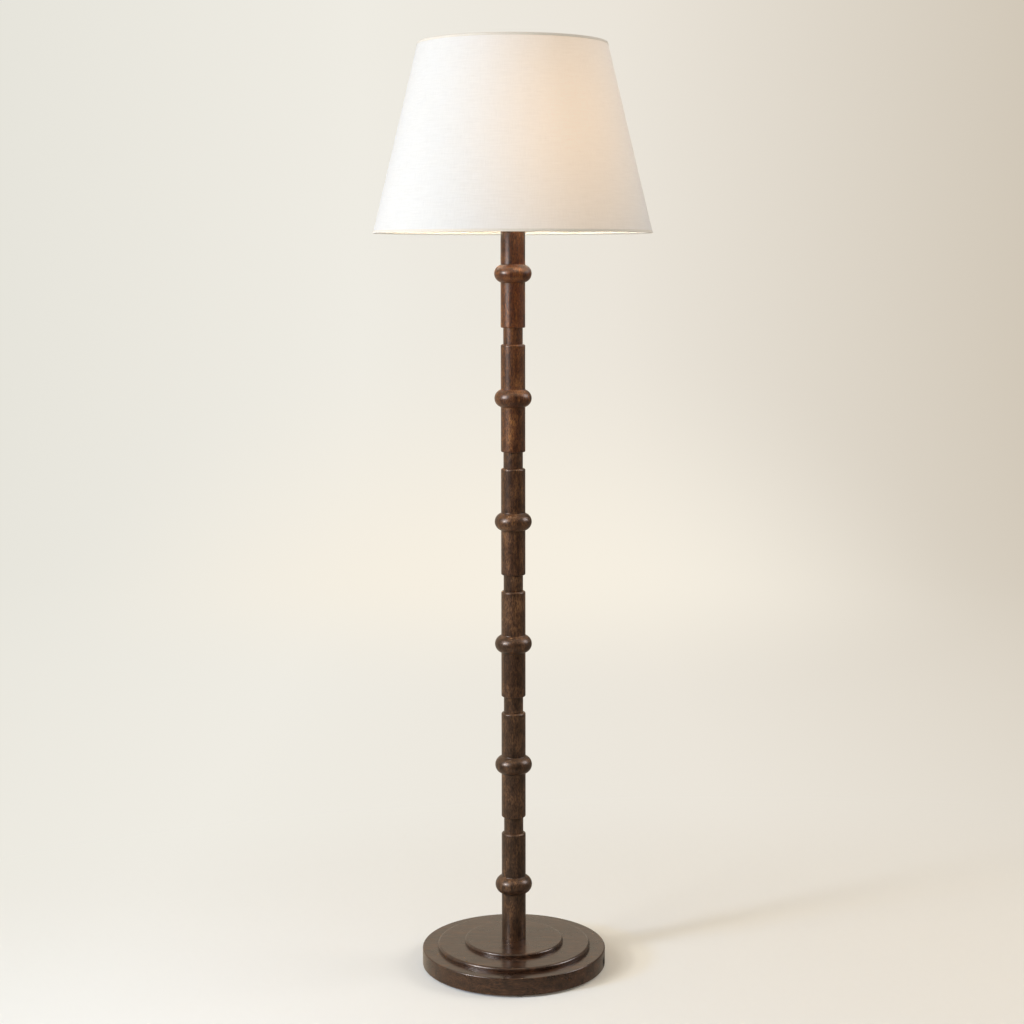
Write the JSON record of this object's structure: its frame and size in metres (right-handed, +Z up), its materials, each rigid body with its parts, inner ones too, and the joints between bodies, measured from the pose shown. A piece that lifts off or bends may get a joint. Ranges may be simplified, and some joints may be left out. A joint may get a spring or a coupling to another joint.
{
  "type": "floor lamp",
  "caption": "Candlestick floor lamp: turned dark wooden column of ringed sections on a stepped round base, with a tapered white linen shade on a harp.",
  "frame": {"origin": "on the floor, under the centre of the base", "axes": "+Z up along the column; the pictured front faces -Y, and +X is to the right of the picture"},
  "size_m": [0.4544, 0.4544, 1.5228],
  "materials": {
    "walnut_base": "dark stained, satin lacquer",
    "walnut_column": "dark stained, satin lacquer",
    "cast_iron": "rough",
    "black_steel": "satin",
    "felt": "pressed felt",
    "black_nylon": "moulded",
    "cream_nylon": "moulded",
    "zinc_screws": "zinc plated",
    "zinc_hardware": "zinc plated",
    "zinc_pipe": "zinc plated thread",
    "white_cable": "PVC sheath",
    "brass_hardware": "satin",
    "brass_socket": "satin, drawn sheet",
    "phenolic": "moulded",
    "fibre_sleeve": "pressed fibre",
    "screw_brass": "rolled thread",
    "nickel": "nickel plated",
    "frosted_glass": "white frosted",
    "white_wire": "white enamel",
    "styrene": "smooth white sheet",
    "linen": "plain weave",
    "linen_trim": "rolled self fabric"
  },
  "bodies": {
    "stand": {"base_disc_lower": "walnut_base", "base_disc_middle": "walnut_base", "base_disc_top": "walnut_base", "ballast_weight": "cast_iron", "base_cover": "black_steel", "foot_pads": "felt", "cord_inlet_bushing": "black_nylon", "terminal_block": "cream_nylon", "terminal_screws": "zinc_screws", "cover_screws": "zinc_screws", "ballast_screws": "zinc_screws", "disc_screws": "zinc_screws", "pipe_washer": "zinc_hardware", "lock_washer": "zinc_hardware", "bottom_nut": "zinc_hardware", "column_section_1": "walnut_column", "column_section_2": "walnut_column", "column_section_3": "walnut_column", "column_section_4": "walnut_column", "column_section_5": "walnut_column", "column_section_6": "walnut_column", "lamp_pipe": "zinc_pipe", "riser_cable": "white_cable", "column_cap": "brass_hardware", "top_nut": "brass_hardware", "harp_saddle": "brass_hardware", "socket_cap": "brass_socket", "socket_set_screw": "zinc_screws", "socket_body": "phenolic", "socket_shell": "brass_socket", "socket_liner": "fibre_sleeve", "screw_shell": "screw_brass", "centre_contact": "screw_brass"},
    "switch": {"switch_stem": "brass_hardware", "switch_knob": "black_nylon"},
    "bulb": {"bulb_base": "nickel", "bulb_insulator": "phenolic", "bulb_glass": "frosted_glass"},
    "harp": {"harp": "brass_hardware"},
    "ferrule_left": {"harp_ferrule_left": "brass_hardware"},
    "ferrule_right": {"harp_ferrule_right": "brass_hardware"},
    "stud": {"harp_stud": "brass_hardware"},
    "shade": {"shade_spider": "white_wire", "shade_bottom_ring": "white_wire", "shade_liner": "styrene", "shade_cover": "linen", "shade_top_trim": "linen_trim", "shade_bottom_trim": "linen_trim"},
    "finial": {"finial": "brass_hardware"}
  },
  "joints": [
    {"name": "switch_turn", "type": "hinge", "parent": "stand", "child": "switch", "pos_m": [0, 0, 1.2813], "axis": [0, -1, 0], "continuous": true},
    {"name": "bulb_turn", "type": "hinge", "parent": "stand", "child": "bulb", "pos_m": [0, 0, 1.34], "axis": [0, 0, 1], "continuous": true},
    {"name": "harp_lift", "type": "slide", "parent": "stand", "child": "harp", "axis": [0, 0, 1], "range_m": [0, 0.02]},
    {"name": "ferrule_left_slide", "type": "slide", "parent": "harp", "child": "ferrule_left", "axis": [0, 0, 1], "range_m": [0, 0.015]},
    {"name": "ferrule_right_slide", "type": "slide", "parent": "harp", "child": "ferrule_right", "axis": [0, 0, 1], "range_m": [0, 0.015]},
    {"name": "shade_swivel", "type": "hinge", "parent": "harp", "child": "stud", "pos_m": [0, 0, 1.4959], "axis": [0, 0, 1], "continuous": true},
    {"name": "shade_lift", "type": "slide", "parent": "stud", "child": "shade", "axis": [0, 0, 1], "range_m": [0, 0.3]},
    {"name": "finial_turn", "type": "hinge", "parent": "shade", "child": "finial", "pos_m": [0, 0, 1.4974], "axis": [0, 0, 1], "continuous": true}
  ]
}
